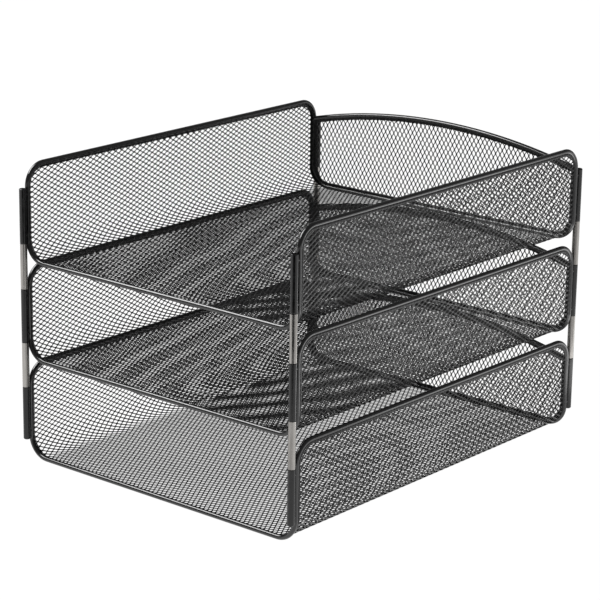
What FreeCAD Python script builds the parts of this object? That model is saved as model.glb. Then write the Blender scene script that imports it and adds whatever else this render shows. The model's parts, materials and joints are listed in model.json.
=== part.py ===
import FreeCAD
import Part
import math
import os

# Three-tier letter tray. Every tray is a basket of round wire and sheet mesh, and the trays stack
# on posts at their four corners. Millimetres, +X right, +Y back, +Z up. The open front faces -Y.
# The origin is on the desk, under the middle of the stack.

TIERS = ("bottom", "middle", "top")
TIER_PITCH = 70.4

WIRE_R = 1.75
FRAME_WIDTH = 241.0         # between the wire's centre lines, left to right
FRAME_DEPTH = 302.5         # between the wire's centre lines, front to back
SIDE_RISE = 66.3            # from the rails' centre line to the side top wires' centre line
RAIL_BEND_R = 15.0          # where a rail turns up into an upright
TOP_BEND_R = 14.5           # where an upright turns into a side top wire
ARCH_END_RISE = 51.5        # the back arch above the rail, at the uprights and at mid span
ARCH_MID_RISE = 66.5
ARCH_END_TRIM = 0.8         # the arch stops this far short of the uprights' centre lines

SHEET_T = 0.8

POST_R = 2.5
POST_GAP = 0.25             # the air between a post and the upright it is welded to
POST_LENGTH = 38.5
POST_FOOT_Z = 14.5          # above the underside of the tray
POST_RIM_ROUND = 0.7
POST_FOOT_ROUND = 1.0       # the closed foot of the lowest posts
SOCKET_R = 1.75
SOCKET_DEPTH = 13.0

PEG_CLEARANCE = 0.05
PEG_LENGTH = 12.0
PEG_TIP_CHAMFER = 0.5

BEAD_R = 1.4
BEAD_FROM_FOOT = 5.5
BEAD_FROM_RIM = 4.5

HALF_WIDTH = FRAME_WIDTH / 2
HALF_DEPTH = FRAME_DEPTH / 2
RAIL_Z = WIRE_R
SIDE_TOP_Z = RAIL_Z + SIDE_RISE
POST_Y = HALF_DEPTH + WIRE_R + POST_GAP + POST_R
POST_RIM_Z = POST_FOOT_Z + POST_LENGTH
CONNECTOR_LENGTH = TIER_PITCH - POST_LENGTH
CORNERS = {
    "front_left": (-1, -1),
    "front_right": (1, -1),
    "back_left": (-1, 1),
    "back_right": (1, 1),
}


def vec(x, y, z):
    return FreeCAD.Vector(x, y, z)


Y_AXIS = vec(0, 1, 0)
Z_AXIS = vec(0, 0, 1)


def rod(start, end, radius):
    """A round bar between two points."""
    run = end - start
    return Part.makeCylinder(radius, run.Length, start, run)


def bent_rod(centre, start, axis, angle, radius):
    """A round bar that follows an arc: it begins at start and turns about the axis through centre."""
    spoke = start - centre
    section = Part.Face(Part.Wire(Part.makeCircle(radius, start, axis.cross(spoke))))
    return section.revolve(centre, axis, angle)


def rounded_corners(corners):
    """Start, centre and end of the arc at each corner of a closed run of (point, bend radius)."""
    arcs = []
    for index, (corner, bend_r) in enumerate(corners):
        back = (corners[index - 1][0] - corner).normalize()
        ahead = (corners[(index + 1) % len(corners)][0] - corner).normalize()
        half_angle = back.getAngle(ahead) / 2
        reach = bend_r / math.tan(half_angle)
        centre = corner + (back + ahead).normalize() * (bend_r / math.sin(half_angle))
        arcs.append((corner + back * reach, centre, corner + ahead * reach))
    return arcs


def wire_loop(corners, radius):
    """A round wire along a closed run of (point, bend radius)."""
    arcs = rounded_corners(corners)
    pieces = []
    for index, (start, centre, end) in enumerate(arcs):
        axis = (start - centre).cross(end - centre).normalize()
        turn = math.degrees((start - centre).getAngle(end - centre))
        next_start = arcs[(index + 1) % len(arcs)][0]
        pieces.append(bent_rod(centre, start, axis, turn, radius))
        pieces.append(rod(end, next_start, radius))
    return pieces[0].multiFuse(pieces[1:]).removeSplitter().Solids[0]


def rounded_face(corners):
    """The flat face inside a closed run of (point, bend radius), where a radius of 0 is sharp."""
    arcs = rounded_corners(corners)
    edges = []
    for index, (start, centre, end) in enumerate(arcs):
        bend_r = corners[index][1]
        if bend_r > 0:
            outwards = (corners[index][0] - centre).normalize()
            edges.append(Part.Arc(start, centre + outwards * bend_r, end).toShape())
        edges.append(Part.makeLine(end, arcs[(index + 1) % len(arcs)][0]))
    return Part.Face(Part.Wire(edges))


def frame_wire():
    """One wire bent into the whole outline: both rails, the four uprights and the side tops."""
    corners = []
    for side, end, z, bend_r in (
        (-1, -1, SIDE_TOP_Z, TOP_BEND_R),
        (-1, -1, RAIL_Z, RAIL_BEND_R),
        (1, -1, RAIL_Z, RAIL_BEND_R),
        (1, -1, SIDE_TOP_Z, TOP_BEND_R),
        (1, 1, SIDE_TOP_Z, TOP_BEND_R),
        (1, 1, RAIL_Z, RAIL_BEND_R),
        (-1, 1, RAIL_Z, RAIL_BEND_R),
        (-1, 1, SIDE_TOP_Z, TOP_BEND_R),
    ):
        corners.append((vec(side * HALF_WIDTH, end * HALF_DEPTH, z), bend_r))
    return wire_loop(corners, WIRE_R)


def arch_circle():
    """The radius of the arch's centre line, and the height of that circle's centre."""
    rise = ARCH_MID_RISE - ARCH_END_RISE
    radius = (HALF_WIDTH ** 2 + rise ** 2) / (2 * rise)
    return radius, RAIL_Z + ARCH_MID_RISE - radius


def arch_wire(frame):
    """The bowed wire over the back panel, coped to the uprights that it is welded between."""
    radius, centre_z = arch_circle()
    centre = vec(0, HALF_DEPTH, centre_z)
    half_angle = math.asin((HALF_WIDTH - ARCH_END_TRIM) / radius)
    start = centre + vec(-math.sin(half_angle), 0, math.cos(half_angle)) * radius
    bar = bent_rod(centre, start, Y_AXIS, math.degrees(2 * half_angle), WIRE_R)
    return bar.cut(frame).Solids[0]


def trough_block(offset):
    """The space between the sides, down to the floor, grown outwards from the mesh's mid surface."""
    x = HALF_WIDTH + offset
    floor_z = RAIL_Z - offset
    bend_r = RAIL_BEND_R + offset
    face = rounded_face([
        (vec(-x, -HALF_DEPTH, SIDE_TOP_Z), 0),
        (vec(-x, -HALF_DEPTH, floor_z), bend_r),
        (vec(x, -HALF_DEPTH, floor_z), bend_r),
        (vec(x, -HALF_DEPTH, SIDE_TOP_Z), 0),
    ])
    return face.extrude(Y_AXIS * FRAME_DEPTH)


def side_hoop_block():
    """The space that the side hoops enclose seen from the side, square below and rounded above."""
    face = rounded_face([
        (vec(-FRAME_WIDTH, -HALF_DEPTH, 0), 0),
        (vec(-FRAME_WIDTH, HALF_DEPTH, 0), 0),
        (vec(-FRAME_WIDTH, HALF_DEPTH, SIDE_TOP_Z), TOP_BEND_R),
        (vec(-FRAME_WIDTH, -HALF_DEPTH, SIDE_TOP_Z), TOP_BEND_R),
    ])
    return face.extrude(vec(2 * FRAME_WIDTH, 0, 0))


def trough_mesh(frame):
    """One sheet of mesh folded up along both long edges, as its envelope without the diamonds."""
    shell = trough_block(SHEET_T / 2).cut(trough_block(-SHEET_T / 2))
    return shell.common(side_hoop_block()).cut(frame).Solids[0]


def back_mesh(frame, arch):
    """The flat panel of mesh between the rear rail, the rear uprights and the arch."""
    radius, centre_z = arch_circle()
    y = HALF_DEPTH - SHEET_T / 2
    face = rounded_face([
        (vec(-HALF_WIDTH, y, SIDE_TOP_Z), 0),
        (vec(-HALF_WIDTH, y, RAIL_Z), RAIL_BEND_R),
        (vec(HALF_WIDTH, y, RAIL_Z), RAIL_BEND_R),
        (vec(HALF_WIDTH, y, SIDE_TOP_Z), 0),
    ])
    under_arch = Part.makeCylinder(radius, SHEET_T, vec(0, y, centre_z), Y_AXIS)
    panel = face.extrude(Y_AXIS * SHEET_T).common(under_arch)
    return panel.cut(frame).cut(arch).Solids[0]


def rim_edges(shape, z, radius):
    """The circular edges of one radius at one height."""
    found = []
    for edge in shape.Edges:
        level = edge.BoundBox.ZLength < 1e-6 and abs(edge.BoundBox.ZMin - z) < 1e-6
        if level and abs(edge.BoundBox.XLength / 2 - radius) < 1e-3:
            found.append(edge)
    return found


def post(corner, open_foot):
    """A corner post with a socket in its rim, and one in its foot unless it is a lowest post."""
    side, end = corner
    foot = vec(side * HALF_WIDTH, end * POST_Y, POST_FOOT_Z)
    body = Part.makeCylinder(POST_R, POST_LENGTH, foot)
    foot_round = POST_RIM_ROUND if open_foot else POST_FOOT_ROUND
    body = body.makeFillet(foot_round, rim_edges(body, POST_FOOT_Z, POST_R))
    body = body.makeFillet(POST_RIM_ROUND, rim_edges(body, POST_RIM_Z, POST_R))
    rim_socket = foot + Z_AXIS * (POST_LENGTH - SOCKET_DEPTH)
    body = body.cut(Part.makeCylinder(SOCKET_R, SOCKET_DEPTH, rim_socket))
    if open_foot:
        body = body.cut(Part.makeCylinder(SOCKET_R, SOCKET_DEPTH, foot))
    return body.Solids[0]


def connector(corner):
    """A stacking post: a shouldered bar with a peg for the socket below and one for that above."""
    side, end = corner
    x = side * HALF_WIDTH
    y = end * POST_Y
    peg_r = SOCKET_R - PEG_CLEARANCE
    low_z = POST_RIM_Z - PEG_LENGTH
    high_z = POST_RIM_Z + CONNECTOR_LENGTH + PEG_LENGTH
    peg = Part.makeCylinder(peg_r, high_z - low_z, vec(x, y, low_z))
    tips = rim_edges(peg, low_z, peg_r) + rim_edges(peg, high_z, peg_r)
    peg = peg.makeChamfer(PEG_TIP_CHAMFER, tips)
    bar = Part.makeCylinder(POST_R, CONNECTOR_LENGTH, vec(x, y, POST_RIM_Z))
    return bar.fuse(peg).removeSplitter().Solids[0]


def weld_beads(frame, posts):
    """Two beads of weld for each post, filling the gap between the post and its upright."""
    beads = []
    reach_y = POST_Y - (POST_R + SOCKET_R) / 2
    for name, (side, end) in CORNERS.items():
        for z in (POST_FOOT_Z + BEAD_FROM_FOOT, POST_RIM_Z - BEAD_FROM_RIM):
            upright = vec(side * HALF_WIDTH, end * HALF_DEPTH, z)
            post_wall = vec(side * HALF_WIDTH, end * reach_y, z)
            bead = rod(upright, post_wall, BEAD_R).cut(frame).cut(posts[name])
            beads.append(bead.Solids[0])
    return Part.makeCompound(beads)


def tray_pieces(tier):
    """All the pieces of one tray, standing on the desk."""
    frame = frame_wire()
    arch = arch_wire(frame)
    posts = {name: post(corner, tier != "bottom") for name, corner in CORNERS.items()}
    pieces = {
        "frame_wire": frame,
        "arch_wire": arch,
        "trough_mesh": trough_mesh(frame),
        "back_mesh": back_mesh(frame, arch),
        "weld_beads": weld_beads(frame, posts),
    }
    for name, shape in posts.items():
        pieces["post_" + name] = shape
    return {tier + "_" + name: shape for name, shape in pieces.items()}


def build():
    nodes = {}
    for level, tier in enumerate(TIERS):
        lift = Z_AXIS * (level * TIER_PITCH)
        for name, shape in tray_pieces(tier).items():
            nodes[name] = shape.translated(lift)
    for level, storey in enumerate(("lower", "upper")):
        lift = Z_AXIS * (level * TIER_PITCH)
        for name, corner in CORNERS.items():
            nodes[storey + "_connector_" + name] = connector(corner).translated(lift)
    return nodes


os.makedirs("parts", exist_ok=True)
for node, solid in build().items():
    solid.exportStep("parts/" + node + ".step")
    print(node, round(solid.Volume, 1), "mm3", len(solid.Solids), "solid(s)", solid.isValid())
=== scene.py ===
import json
import math

import bpy
import numpy as np
from mathutils import Matrix, Vector


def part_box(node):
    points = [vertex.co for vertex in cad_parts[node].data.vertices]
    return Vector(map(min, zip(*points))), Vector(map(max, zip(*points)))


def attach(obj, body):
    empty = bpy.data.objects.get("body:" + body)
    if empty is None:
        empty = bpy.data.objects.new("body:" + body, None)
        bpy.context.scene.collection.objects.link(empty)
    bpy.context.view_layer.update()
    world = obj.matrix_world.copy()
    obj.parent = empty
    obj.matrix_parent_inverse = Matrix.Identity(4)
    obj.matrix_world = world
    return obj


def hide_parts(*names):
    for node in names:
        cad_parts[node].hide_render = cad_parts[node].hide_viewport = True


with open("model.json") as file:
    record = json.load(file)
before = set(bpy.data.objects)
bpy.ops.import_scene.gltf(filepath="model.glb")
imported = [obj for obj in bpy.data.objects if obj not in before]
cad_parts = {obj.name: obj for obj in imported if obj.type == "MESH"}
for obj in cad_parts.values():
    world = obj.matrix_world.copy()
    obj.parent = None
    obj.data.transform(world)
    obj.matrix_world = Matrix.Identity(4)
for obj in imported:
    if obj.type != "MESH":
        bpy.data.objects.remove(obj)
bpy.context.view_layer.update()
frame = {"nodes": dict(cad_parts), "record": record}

# Metres. +X right, +Y to the back, +Z up, and the trays' open fronts face -Y.
TIERS = ("bottom", "middle", "top")
RAIL_BEND_R = 0.015           # where a rail turns up into an upright, and where the mesh folds
TOP_BEND_R = 0.0145           # where an upright turns into a side top wire
ARCH_END_RISE = 0.0515        # the arch's ends above the rear rail

TROUGH_LONG_WAY = 0.00624     # one diamond of the expanded metal, bond to bond
TROUGH_SHORT_WAY = 0.00355
BACK_LONG_WAY = 0.00645
BACK_SHORT_WAY = 0.0039
BOND_EDGE = 0.00056           # half the length of a bond's outer edges
BOND_NOTCH = 0.00072          # from a bond's middle to the notch where two strands part
BOND_HALF = 0.00063           # half a bond's height, which is one strand's width
EDGE_PINCH = 0.45             # how far a bond narrows where it is drawn in under the hem
WALL_LOUVRE = -0.18           # how steeply the strands tilt out of the sheet, as rise over run
BACK_LOUVRE = 0.18
STRAND_T = 0.00042            # the metal's thickness
STRETCH_WANDER = 0.0004       # how far stretching leaves a bond from its regular place
SIDE_OUTSET = 0.0006          # how far outside the wires' centre lines the sides lie
EDGE_INSET = 0.0021           # strands end this far inside the wire's centre line, under the hem

HEM_OUTER = 0.0012            # the hem runs from inside the wire's surface ...
HEM_INNER = 0.0034            # ... to here, measured from the wire's centre line
HEM_SCALLOP = 0.0002
HEM_HALF_T = 0.00055          # half the folded hem's thickness along its crest
HEM_RIPPLE = 0.00006
HEM_LIP = 0.7                 # the outer edge's thickness, as a share of the crest's
HEM_TOE = 0.45                # the inner edge's
HEM_CREST = (0.25, 0.75)      # where the crest begins and ends across the hem
HEM_STEPS_PER_SCALLOP = 4
HEM_END_QUADS = ((0, 1, 6, 7), (1, 2, 5, 6), (2, 3, 4, 5))    # close the hem's eight-sided section

# ---------------------------------------------------------------- sizes taken from the frame

wire_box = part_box("bottom_frame_wire")
arch_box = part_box("bottom_arch_wire")
WIRE_R = (arch_box[1].y - arch_box[0].y) / 2
HALF_WIDTH = wire_box[1].x - WIRE_R
HALF_DEPTH = wire_box[1].y - WIRE_R
RAIL_Z = wire_box[0].z + WIRE_R
SIDE_TOP_Z = wire_box[1].z - WIRE_R
ARCH_TOP_Z = arch_box[1].z - WIRE_R
TIER_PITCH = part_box("middle_frame_wire")[0].z - wire_box[0].z
FLAT_HALF = HALF_WIDTH - RAIL_BEND_R
FOLD_LENGTH = RAIL_BEND_R * math.pi / 2
SHEET_HALF = FLAT_HALF + FOLD_LENGTH + SIDE_TOP_Z - RAIL_Z - RAIL_BEND_R


# ---------------------------------------------------------------- the sheets, laid flat and folded


def fold_trough(across, along, proud):
    """Points of the trough: across the unfolded sheet from left to right, along it to the back,
    and proud of its middle surface towards the paper. The sides lie a little outside the wires'
    centre lines."""
    side = np.sign(across)
    reach = np.abs(across)
    turn = np.clip((reach - FLAT_HALF) / RAIL_BEND_R, 0, math.pi / 2)
    rise = np.clip(reach - FLAT_HALF - FOLD_LENGTH, 0, None)
    flat = np.minimum(reach, FLAT_HALF)
    x = side * (flat + (RAIL_BEND_R + SIDE_OUTSET - proud) * np.sin(turn))
    z = RAIL_Z + RAIL_BEND_R * (1 - np.cos(turn)) + rise + proud * np.cos(turn)
    return np.stack([x, along, z], -1)


def stand_back(across, along, proud):
    """Points of the back panel: across it to the right, up it from the rail, and proud of its
    middle surface towards the paper."""
    return np.stack([across, np.full_like(across, HALF_DEPTH) - proud, RAIL_Z + along], -1)


def arch_circle():
    """The radius of the arch's centre line, and how high that circle's centre is above the rail."""
    mid_rise = ARCH_TOP_Z - RAIL_Z
    rise = mid_rise - ARCH_END_RISE
    radius = (HALF_WIDTH ** 2 + rise ** 2) / (2 * rise)
    return radius, mid_rise - radius


def box_depth(across, along, half_across, low, high, corner_r):
    """How far inside a rounded rectangle a point lies."""
    middle = (low + high) / 2
    half_along = (high - low) / 2
    beyond_across = np.abs(across) - (half_across - corner_r)
    beyond_along = np.abs(along - middle) - (half_along - corner_r)
    outside = np.hypot(np.maximum(beyond_across, 0), np.maximum(beyond_along, 0))
    inside = np.minimum(np.maximum(beyond_across, beyond_along), 0)
    return corner_r - outside - inside


def trough_depth(across, along):
    return box_depth(across, along, SHEET_HALF, -HALF_DEPTH, HALF_DEPTH, TOP_BEND_R)


def trough_tilt(across):
    """The strands' tilt: the floor is rolled flat, and the walls keep what stretching gave them."""
    return WALL_LOUVRE * np.clip((np.abs(across) - FLAT_HALF) / FOLD_LENGTH, 0, 1)


def back_tilt(across):
    return np.full(across.shape, BACK_LOUVRE)


def back_depth(across, along):
    radius, centre = arch_circle()
    tall = box_depth(across, along, HALF_WIDTH, 0, 2 * HALF_WIDTH, RAIL_BEND_R)
    return np.minimum(tall, radius - np.hypot(across, along - centre))


# ---------------------------------------------------------------- meshes


def mesh_object(name, points, quads, material, smooth=False):
    mesh = bpy.data.meshes.new(name)
    mesh.vertices.add(len(points))
    mesh.vertices.foreach_set("co", points.astype(np.float32).ravel())
    mesh.loops.add(quads.size)
    mesh.loops.foreach_set("vertex_index", quads.astype(np.int32).ravel())
    mesh.polygons.add(len(quads))
    mesh.polygons.foreach_set("loop_start", np.arange(0, quads.size, 4, dtype=np.int32))
    mesh.update(calc_edges=True)
    mesh.polygons.foreach_set("use_smooth", np.full(len(quads), smooth))
    mesh.materials.append(material)
    return mesh


def place(name, mesh, tier):
    """One tray's copy of a mesh that is modelled in the bottom tray."""
    piece = bpy.data.objects.new(name, mesh)
    piece.location.z = TIERS.index(tier) * TIER_PITCH
    bpy.context.scene.collection.objects.link(piece)
    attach(piece, tier + "_tray")
    return piece


def bond_corners():
    """A flat bond's twelve corners: right and left, upper, middle and lower, two faces."""
    edge = (BOND_EDGE, BOND_NOTCH, BOND_EDGE)
    height = (BOND_HALF, 0.0, -BOND_HALF)
    rows = []
    for face in (0.5, -0.5):
        for side in (1, -1):
            for reach, rise in zip(edge, height):
                rows.append((side * reach, rise, face * STRAND_T))
    return np.array(rows)


RIGHT_TOP, RIGHT_MID, RIGHT_LOW, LEFT_TOP, LEFT_MID, LEFT_LOW = range(6)
UNDER = 6                     # added to a corner's number, its partner on the lower face
BOND_CORNERS = 12


def joined(bonds, others, loop):
    """Quads whose corners lie on two bonds each. loop holds (which bond, corner number)."""
    columns = [(others if which else bonds) * BOND_CORNERS + corner for which, corner in loop]
    return np.stack(columns, -1)


def prism(edge_a, edge_b):
    """The four long faces of a bar between an edge on one bond and an edge on another."""
    (a_high, a_low), (b_high, b_low) = edge_a, edge_b
    return [
        [(0, a_low), (1, b_low), (1, b_high), (0, a_high)],
        [(0, a_high + UNDER), (1, b_high + UNDER), (1, b_low + UNDER), (0, a_low + UNDER)],
        [(0, a_high), (1, b_high), (1, b_high + UNDER), (0, a_high + UNDER)],
        [(0, a_low + UNDER), (1, b_low + UNDER), (1, b_low), (0, a_low)],
    ]


def pulled(across, along):
    """The slight unevenness that stretching leaves in the rows of diamonds."""
    wander_across = np.sin(along * 31 + across * 9 + 0.7) + 0.5 * np.sin(along * 67 - across * 23)
    wander_along = np.sin(across * 27 + along * 11 + 2.1) + 0.5 * np.sin(across * 58 - along * 17)
    return across + STRETCH_WANDER * wander_across, along + STRETCH_WANDER * wander_along


def end_cap(edge):
    high_corner, low_corner = edge
    return [(0, high_corner), (0, low_corner), (0, low_corner + UNDER), (0, high_corner + UNDER)]


def caps(has_strand, owned, loop):
    """Closes a bond's edge that no strand leaves, and a strand's end at another piece's bond."""
    bond_alone = np.flatnonzero(owned & ~has_strand)
    strand_alone = np.flatnonzero(has_strand & ~owned)
    return [joined(bond_alone, bond_alone, loop), joined(strand_alone, strand_alone, loop[::-1])]


def lattice(name, diamond, low, high, depth, fold, owns, crosses, material):
    """Expanded metal over a sheet. The bonds lie in staggered rows, each a short bar along the
    sheet, and four strands leave each bond for its neighbours in the rows beside it. Bonds that
    would pass the sheet's edge are drawn in to end under the hem. A piece holds the bonds that
    owns() gives it, and crosses says whether it also holds the strands that run on to another
    piece's bonds."""
    long_way, short_way, tilt = diamond
    half_long = long_way / 2
    half_short = short_way / 2
    rows = np.arange(math.floor(low[0] / half_short) - 1, math.ceil(high[0] / half_short) + 2)
    columns = np.arange(math.floor(low[1] / half_long) - 1, math.ceil(high[1] / half_long) + 2)
    row, column = np.meshgrid(rows, columns, indexing="ij")
    across, along = pulled(row * half_short, column * half_long)
    inside = depth(across, along)
    staggered = (row + column) % 2 == 0
    full = staggered & (inside > EDGE_INSET)
    near = np.zeros_like(full)
    for step_row in (-1, 1):
        for step_column in (-1, 1):
            near |= np.roll(full, (step_row, step_column), (0, 1))
    used = full | (staggered & near & (inside <= EDGE_INSET))
    mine = used & owns(across)
    number = np.full(used.shape, -1)
    number[used] = np.arange(used.sum())

    pinch = np.where(inside[used] <= EDGE_INSET, EDGE_PINCH, 1.0)
    step = 1e-6
    slope_across = (depth(across + step, along) - inside) / step
    slope_along = (depth(across, along + step) - inside) / step
    draw_in = np.clip(EDGE_INSET - inside, 0, None)
    across = (across + slope_across * draw_in)[used]
    along = (along + slope_along * draw_in)[used]
    reach, rise, proud = bond_corners().T
    points = fold(
        across[:, None] + rise * pinch[:, None],
        along[:, None] + reach * pinch[:, None],
        proud + rise * tilt(across)[:, None],
    ).reshape(-1, 3)

    every = number[mine]
    bars = [
        [(0, LEFT_MID), (0, RIGHT_MID), (0, RIGHT_TOP), (0, LEFT_TOP)],
        [(0, LEFT_LOW), (0, RIGHT_LOW), (0, RIGHT_MID), (0, LEFT_MID)],
        [(0, LEFT_TOP + UNDER), (0, RIGHT_TOP + UNDER),
         (0, RIGHT_MID + UNDER), (0, LEFT_MID + UNDER)],
        [(0, LEFT_MID + UNDER), (0, RIGHT_MID + UNDER),
         (0, RIGHT_LOW + UNDER), (0, LEFT_LOW + UNDER)],
        [(0, LEFT_TOP), (0, RIGHT_TOP), (0, RIGHT_TOP + UNDER), (0, LEFT_TOP + UNDER)],
        [(0, LEFT_LOW + UNDER), (0, RIGHT_LOW + UNDER), (0, RIGHT_LOW), (0, LEFT_LOW)],
    ]
    quads = [joined(every, every, loop) for loop in bars]
    upper_right = (RIGHT_TOP, RIGHT_MID)
    lower_right = (RIGHT_MID, RIGHT_LOW)
    upper_left = (LEFT_TOP, LEFT_MID)
    lower_left = (LEFT_MID, LEFT_LOW)
    for step_row, leaves, arrives in ((1, upper_right, lower_left), (-1, lower_right, upper_left)):
        shift = (-step_row, -1)
        ahead = np.roll(number, shift, (0, 1))
        mine_ahead = np.roll(mine, shift, (0, 1))
        possible = used & (ahead >= 0) & (full | np.roll(full, shift, (0, 1)))
        linked = possible & (mine | mine_ahead if crosses else mine & mine_ahead)
        start, end = number[linked], ahead[linked]
        quads += [joined(start, end, loop) for loop in prism(leaves, arrives)]
        has_start = np.zeros(used.sum(), bool)
        has_start[start] = True
        has_end = np.zeros(used.sum(), bool)
        has_end[end] = True
        quads += caps(has_start, mine[used], end_cap(leaves))
        quads += caps(has_end, mine[used], end_cap(arrives)[::-1])
    quads = np.concatenate(quads)
    kept, quads = np.unique(quads, return_inverse=True)
    return mesh_object(name, points[kept], quads.reshape(-1, 4), material)


def walk_arc(centre, radius, start, end):
    """Points and outward directions along an arc, close enough for the hem's scallops."""
    length = abs(end - start) * radius
    count = max(int(length / TROUGH_LONG_WAY * 2 * HEM_STEPS_PER_SCALLOP), 2)
    angle = np.linspace(start, end, count)
    outwards = np.stack([np.cos(angle), np.sin(angle)], -1)
    return np.array(centre) + outwards * radius, outwards


def walk_line(start, end, outwards):
    length = math.dist(start, end)
    count = max(int(length / TROUGH_LONG_WAY * 2 * HEM_STEPS_PER_SCALLOP), 2)
    share = np.linspace(0, 1, count)[:, None]
    points = np.array(start) * (1 - share) + np.array(end) * share
    return points, np.broadcast_to(np.array(outwards, float), points.shape)


def chain(stretches):
    """Runs walked stretches together, dropping the point that each repeats from the one before."""
    points = [stretches[0][0]] + [stretch[0][1:] for stretch in stretches[1:]]
    outwards = [stretches[0][1]] + [stretch[1][1:] for stretch in stretches[1:]]
    return np.concatenate(points), np.concatenate(outwards)


def hem(name, walk, closed, fold, material):
    """The sheet's edge, folded over and pressed flat against the wire, with a scalloped inner side
    where the cut diamonds end."""
    points, outwards = walk
    if closed:
        points, outwards = points[:-1], outwards[:-1]
    count = len(points)
    wave = np.cos(np.arange(count) * 2 * math.pi / HEM_STEPS_PER_SCALLOP)
    crest = HEM_HALF_T + HEM_RIPPLE * wave
    width = HEM_INNER - HEM_OUTER
    section = [(np.full(count, HEM_OUTER), np.full(count, HEM_HALF_T * HEM_LIP))]
    section += [(np.full(count, HEM_OUTER + width * share), crest) for share in HEM_CREST]
    section += [(HEM_INNER + HEM_SCALLOP * wave, np.full(count, HEM_HALF_T * HEM_TOE))]
    section += [(inset, -proud) for inset, proud in reversed(section)]
    rings = []
    for inset, proud in section:
        line = points - outwards * inset[:, None]
        rings.append(fold(line[:, 0], line[:, 1], proud))
    around = len(rings)
    vertices = np.stack(rings, 1).reshape(-1, 3)
    here = np.arange(count if closed else count - 1)
    ahead = (here + 1) % count
    quads = []
    for index in range(around):
        following = (index + 1) % around
        corners = (here * around + index, here * around + following,
                   ahead * around + following, ahead * around + index)
        quads.append(np.stack(corners, -1))
    if not closed:
        for base, flip in ((0, 1), ((count - 1) * around, -1)):
            for corners in HEM_END_QUADS:
                quads.append(np.array([[base + corner for corner in corners][::-flip]]))
    return mesh_object(name, vertices, np.concatenate(quads), material, smooth=True)


def trough_walk():
    """Once round the unfolded trough, along the frame wire's centre line."""
    wide, deep, bend = SHEET_HALF, HALF_DEPTH, TOP_BEND_R
    right, back = wide - bend, deep - bend
    quarter = math.pi / 2
    return chain([
        walk_line((wide, -back), (wide, back), (1, 0)),
        walk_arc((right, back), bend, 0, quarter),
        walk_line((right, deep), (-right, deep), (0, 1)),
        walk_arc((-right, back), bend, quarter, 2 * quarter),
        walk_line((-wide, back), (-wide, -back), (-1, 0)),
        walk_arc((-right, -back), bend, 2 * quarter, 3 * quarter),
        walk_line((-right, -deep), (right, -deep), (0, -1)),
        walk_arc((right, -back), bend, 3 * quarter, 4 * quarter),
    ])


def back_walks():
    """The back panel's two edges: down, across and up along the frame wire, and along the arch."""
    bend = RAIL_BEND_R
    flat = HALF_WIDTH - bend
    quarter = math.pi / 2
    under = chain([
        walk_line((-HALF_WIDTH, ARCH_END_RISE), (-HALF_WIDTH, bend), (-1, 0)),
        walk_arc((-flat, bend), bend, 2 * quarter, 3 * quarter),
        walk_line((-flat, 0), (flat, 0), (0, -1)),
        walk_arc((flat, bend), bend, 3 * quarter, 4 * quarter),
        walk_line((HALF_WIDTH, bend), (HALF_WIDTH, ARCH_END_RISE), (1, 0)),
    ])
    radius, centre = arch_circle()
    half_angle = math.asin((HALF_WIDTH - WIRE_R) / radius)
    over = walk_arc((0, centre), radius, quarter - half_angle, quarter + half_angle)
    return under, over


# ---------------------------------------------------------------- materials


def new_material(name):
    material = bpy.data.materials.new(name)
    material.use_nodes = True
    return material, material.node_tree, material.node_tree.nodes["Principled BSDF"]


def noise(tree, scale, detail=3.0, stretch=(1, 1, 1)):
    """Noise fixed to the piece, its scale in cells per metre."""
    where = tree.nodes.new("ShaderNodeTexCoord")
    mapping = tree.nodes.new("ShaderNodeMapping")
    mapping.inputs["Scale"].default_value = stretch
    texture = tree.nodes.new("ShaderNodeTexNoise")
    texture.inputs["Scale"].default_value = scale
    texture.inputs["Detail"].default_value = detail
    tree.links.new(where.outputs["Object"], mapping.inputs["Vector"])
    tree.links.new(mapping.outputs["Vector"], texture.inputs["Vector"])
    return texture.outputs["Fac"]


def spread(tree, value, low, high, new_low, new_high):
    """Maps a value's middle range onto another range."""
    node = tree.nodes.new("ShaderNodeMapRange")
    node.inputs["From Min"].default_value = low
    node.inputs["From Max"].default_value = high
    node.inputs["To Min"].default_value = new_low
    node.inputs["To Max"].default_value = new_high
    tree.links.new(value, node.inputs["Value"])
    return node.outputs["Result"]


def blend_colours(tree, share, dark, light):
    node = tree.nodes.new("ShaderNodeMix")
    node.data_type = "RGBA"
    node.inputs["A"].default_value = (*dark, 1)
    node.inputs["B"].default_value = (*light, 1)
    tree.links.new(share, node.inputs["Factor"])
    return node.outputs["Result"]


def add_bump(tree, shader, height, strength, distance):
    node = tree.nodes.new("ShaderNodeBump")
    node.inputs["Strength"].default_value = strength
    node.inputs["Distance"].default_value = distance
    tree.links.new(height, node.inputs["Height"])
    tree.links.new(node.outputs["Normal"], shader.inputs["Normal"])


def powder_coat(name, dark, light, roughness, sheen):
    """Black powder coat: a soft gloss over fine orange peel, with faint cloudiness and dust."""
    material, tree, shader = new_material(name)
    cloud = noise(tree, 45, 4)
    speck = noise(tree, 900, 2)
    shade = tree.nodes.new("ShaderNodeMath")
    shade.operation = "MULTIPLY"
    tree.links.new(spread(tree, cloud, 0.3, 0.7, 0.25, 1.0), shade.inputs[0])
    tree.links.new(spread(tree, speck, 0.35, 0.75, 0.2, 1.0), shade.inputs[1])
    colour = blend_colours(tree, shade.outputs["Value"], dark, light)
    tree.links.new(colour, shader.inputs["Base Color"])
    gloss = spread(tree, noise(tree, 220, 4), 0.3, 0.7, roughness - 0.07, roughness + 0.09)
    tree.links.new(gloss, shader.inputs["Roughness"])
    add_bump(tree, shader, noise(tree, 1900, 2), strength=0.3, distance=0.00006)
    shader.inputs["Specular IOR Level"].default_value = sheen
    return material


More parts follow.
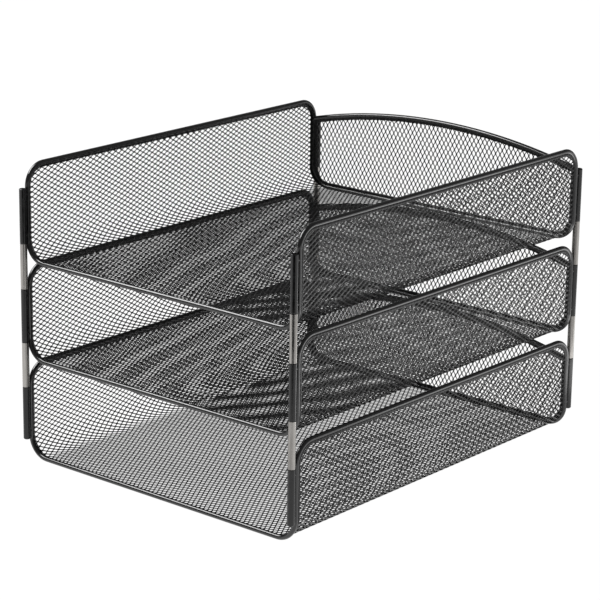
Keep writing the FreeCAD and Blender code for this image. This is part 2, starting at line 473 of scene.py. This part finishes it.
def satin_steel(name, dark, light):
    """Nickel-grey steel with fine marks drawn along the bar, and broad painted reflection streaks
    along it.
    """
    material, tree, shader = new_material(name)
    # Broad lighter and darker streaks along the bar are painted reflections of bright and dark
    # surroundings, not marks in the steel.
    painted_reflection_streaks = noise(tree, 420, 2, (1, 1, 0.03))
    drawn = noise(tree, 2600, 5, (1, 1, 0.035))
    reflection_streaks_and_drawn_marks = tree.nodes.new("ShaderNodeMath")
    reflection_streaks_and_drawn_marks.operation = "ADD"
    tree.links.new(spread(tree, painted_reflection_streaks, 0.35, 0.65, 0.0, 0.7), reflection_streaks_and_drawn_marks.inputs[0])
    tree.links.new(spread(tree, drawn, 0.3, 0.7, 0.0, 0.3), reflection_streaks_and_drawn_marks.inputs[1])
    colour = blend_colours(tree, reflection_streaks_and_drawn_marks.outputs["Value"], dark, light)
    tree.links.new(colour, shader.inputs["Base Color"])
    shader.inputs["Metallic"].default_value = 0.9
    smudge = noise(tree, 130, 3)
    tree.links.new(spread(tree, smudge, 0.3, 0.7, 0.15, 0.25), shader.inputs["Roughness"])
    add_bump(tree, shader, drawn, strength=0.35, distance=0.00003)
    return material


def stage_white(name, glow, white):
    """A lit white sweep: it glows evenly, and takes only a trace of light and shadow on top."""
    material, tree, shader = new_material(name)
    colour = blend_colours(tree, noise(tree, 6, 3), (white, white, white), (white * 1.2,) * 3)
    tree.links.new(colour, shader.inputs["Base Color"])
    shader.inputs["Emission Color"].default_value = (1, 1, 1, 1)
    shader.inputs["Emission Strength"].default_value = glow
    shader.inputs["Roughness"].default_value = 0.8
    shader.inputs["Specular IOR Level"].default_value = 0.0
    return material


def flag_black(name):
    material, tree, shader = new_material(name)
    colour = blend_colours(tree, noise(tree, 9, 3), (0.004, 0.004, 0.004), (0.008, 0.008, 0.008))
    tree.links.new(colour, shader.inputs["Base Color"])
    shader.inputs["Roughness"].default_value = 0.9
    shader.inputs["Specular IOR Level"].default_value = 0.0
    return material


# ---------------------------------------------------------------- the trays


def dress_frame(materials):
    """Gives each CAD node its own finish."""
    by_slot = {
        "wire_coat": materials["wire"],
        "post_coat": materials["post"],
        "weld_coat": materials["post"],
        "mesh_coat": materials["mesh"],
        "connector_steel": materials["steel"],
    }
    slots = {row["node"]: row["material_slot"] for row in frame["record"]["subparts"]}
    for name, node in frame["nodes"].items():
        node.data.materials.clear()
        node.data.materials.append(by_slot[slots[name]])


def everywhere(across):
    return np.ones(across.shape, bool)


def make_meshes(material):
    """The expanded metal and its hems for one tray, as meshes of the bottom one."""
    fold_end = FLAT_HALF + FOLD_LENGTH
    trough_diamond = (TROUGH_LONG_WAY, TROUGH_SHORT_WAY, trough_tilt)
    back_diamond = (BACK_LONG_WAY, BACK_SHORT_WAY, back_tilt)
    sheet = ((-SHEET_HALF, -HALF_DEPTH), (SHEET_HALF, HALF_DEPTH))
    panel = ((-HALF_WIDTH, 0), (HALF_WIDTH, ARCH_TOP_Z - RAIL_Z))
    rear_edge, arch_edge = back_walks()
    return {
        "floor_lattice": lattice(
            "floor_lattice", trough_diamond, *sheet, trough_depth, fold_trough,
            lambda across: np.abs(across) <= fold_end, True, material),
        "left_lattice": lattice(
            "left_lattice", trough_diamond, *sheet, trough_depth, fold_trough,
            lambda across: across < -fold_end, False, material),
        "right_lattice": lattice(
            "right_lattice", trough_diamond, *sheet, trough_depth, fold_trough,
            lambda across: across > fold_end, False, material),
        "back_lattice": lattice(
            "back_lattice", back_diamond, *panel, back_depth, stand_back,
            everywhere, False, material),
        "trough_hem": hem("trough_hem", trough_walk(), True, fold_trough, material),
        "back_hem": hem("back_hem", rear_edge, False, stand_back, material),
        "arch_hem": hem("arch_hem", arch_edge, False, stand_back, material),
    }


def fill_trays(meshes):
    for tier in TIERS:
        for name, mesh in meshes.items():
            piece = place(tier + "_" + name, mesh, tier)
            at_back = name in ("back_lattice", "back_hem", "arch_hem")
            panel = "back_mesh" if at_back else "trough_mesh"
            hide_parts(tier + "_" + panel)


# ---------------------------------------------------------------- stage, light and camera


def add_floor(size):
    points = np.array([(-size, -size, 0), (size, -size, 0), (size, size, 0), (-size, size, 0)])
    white = stage_white("floor_white", glow=1.0, white=0.04)
    mesh = mesh_object("floor", points, np.array([[0, 1, 2, 3]]), white)
    floor = bpy.data.objects.new("floor", mesh)
    bpy.context.scene.collection.objects.link(floor)


def add_flag(azimuth, near, far, spread_angle):
    """A black card on the floor out of the picture, which only shows as the dark line that a
    studio's unlit side leaves in glossy bars. It spreads from near to far, seen from the object."""
    az = math.radians(azimuth)
    ahead = np.array((math.sin(az), -math.cos(az), 0.0))
    aside = np.array((math.cos(az), math.sin(az), 0.0))
    tangent = math.tan(math.radians(spread_angle))
    lift = np.array((0, 0, 0.001))
    near_half, far_half = tangent * near, tangent * far
    corners = [(near, -near_half), (far, -far_half), (far, far_half), (near, near_half)]
    points = np.array([ahead * out + aside * across + lift for out, across in corners])
    mesh = mesh_object("flag", points, np.array([[0, 3, 2, 1]]), flag_black("flag_black"))
    flag = bpy.data.objects.new("flag", mesh)
    flag.visible_camera = False
    flag.visible_diffuse = False
    flag.visible_transmission = False
    flag.visible_shadow = False
    bpy.context.scene.collection.objects.link(flag)


def add_light(name, place_at, aim_at, size, power):
    """A rectangular softbox that lights and shows in glossy surfaces, but not in the picture."""
    light = bpy.data.lights.new(name, "AREA")
    light.shape = "RECTANGLE"
    light.size, light.size_y = size
    light.energy = power
    lamp = bpy.data.objects.new(name, light)
    lamp.location = place_at
    lamp.rotation_euler = (Vector(aim_at) - Vector(place_at)).to_track_quat("-Z", "Y").to_euler()
    lamp.visible_camera = False
    bpy.context.scene.collection.objects.link(lamp)


def add_world(colour, strength):
    world = bpy.data.worlds.new("studio")
    world.use_nodes = True
    background = world.node_tree.nodes["Background"]
    background.inputs["Color"].default_value = (*colour, 1)
    background.inputs["Strength"].default_value = strength
    bpy.context.scene.world = world


def add_camera(azimuth, elevation, roll, distance, target, lens):
    """Looks at target from in front and to the right; azimuth 0 looks along +Y."""
    az, el = math.radians(azimuth), math.radians(elevation)
    ahead = Vector((-math.sin(az) * math.cos(el), math.cos(az) * math.cos(el), -math.sin(el)))
    right = ahead.cross(Vector((0, 0, 1))).normalized()
    up = right.cross(ahead)
    basis = Matrix((right, up, -ahead)).transposed()
    basis = Matrix.Rotation(math.radians(roll), 3, -ahead) @ basis
    camera = bpy.data.objects.new("camera", bpy.data.cameras.new("camera"))
    camera.data.lens = lens
    camera.data.sensor_width = 36
    camera.matrix_world = Matrix.Translation(Vector(target) - ahead * distance) @ basis.to_4x4()
    bpy.context.scene.collection.objects.link(camera)
    bpy.context.scene.camera = camera


bar_black = ((0.002, 0.002, 0.0022), (0.006, 0.006, 0.0065))
mesh_black = ((0.003, 0.003, 0.0032), (0.009, 0.009, 0.0095))
materials = {
    "wire": powder_coat("wire_powder_coat", *bar_black, roughness=0.17, sheen=0.75),
    "post": powder_coat("post_powder_coat", *bar_black, roughness=0.21, sheen=0.5),
    "mesh": powder_coat("mesh_powder_coat", *mesh_black, roughness=0.27, sheen=0.25),
    "steel": satin_steel("connector_satin_steel", (0.17, 0.162, 0.153), (0.43, 0.415, 0.395)),
}
dress_frame(materials)
fill_trays(make_meshes(materials["mesh"]))

add_floor(size=30.0)
add_flag(azimuth=35, near=0.50, far=2.4, spread_angle=28)
add_world(colour=(1, 1, 1), strength=0.19)
add_light(
    "key_softbox", place_at=(-0.62, -0.40, 0.75), aim_at=(-0.62, -0.399, 0),
    size=(0.70, 0.60), power=13.6)
add_light(
    "low_fill", place_at=(0.245, 0.235, 0.004), aim_at=(0.245, 0.236, 1),
    size=(0.11, 0.37), power=0.28)
add_camera(
    azimuth=39.963, elevation=16.528, roll=0.872, distance=1.7049,
    target=(-0.0051, 0, 0.1048), lens=145.37)
bpy.context.scene.view_settings.view_transform = "Standard"
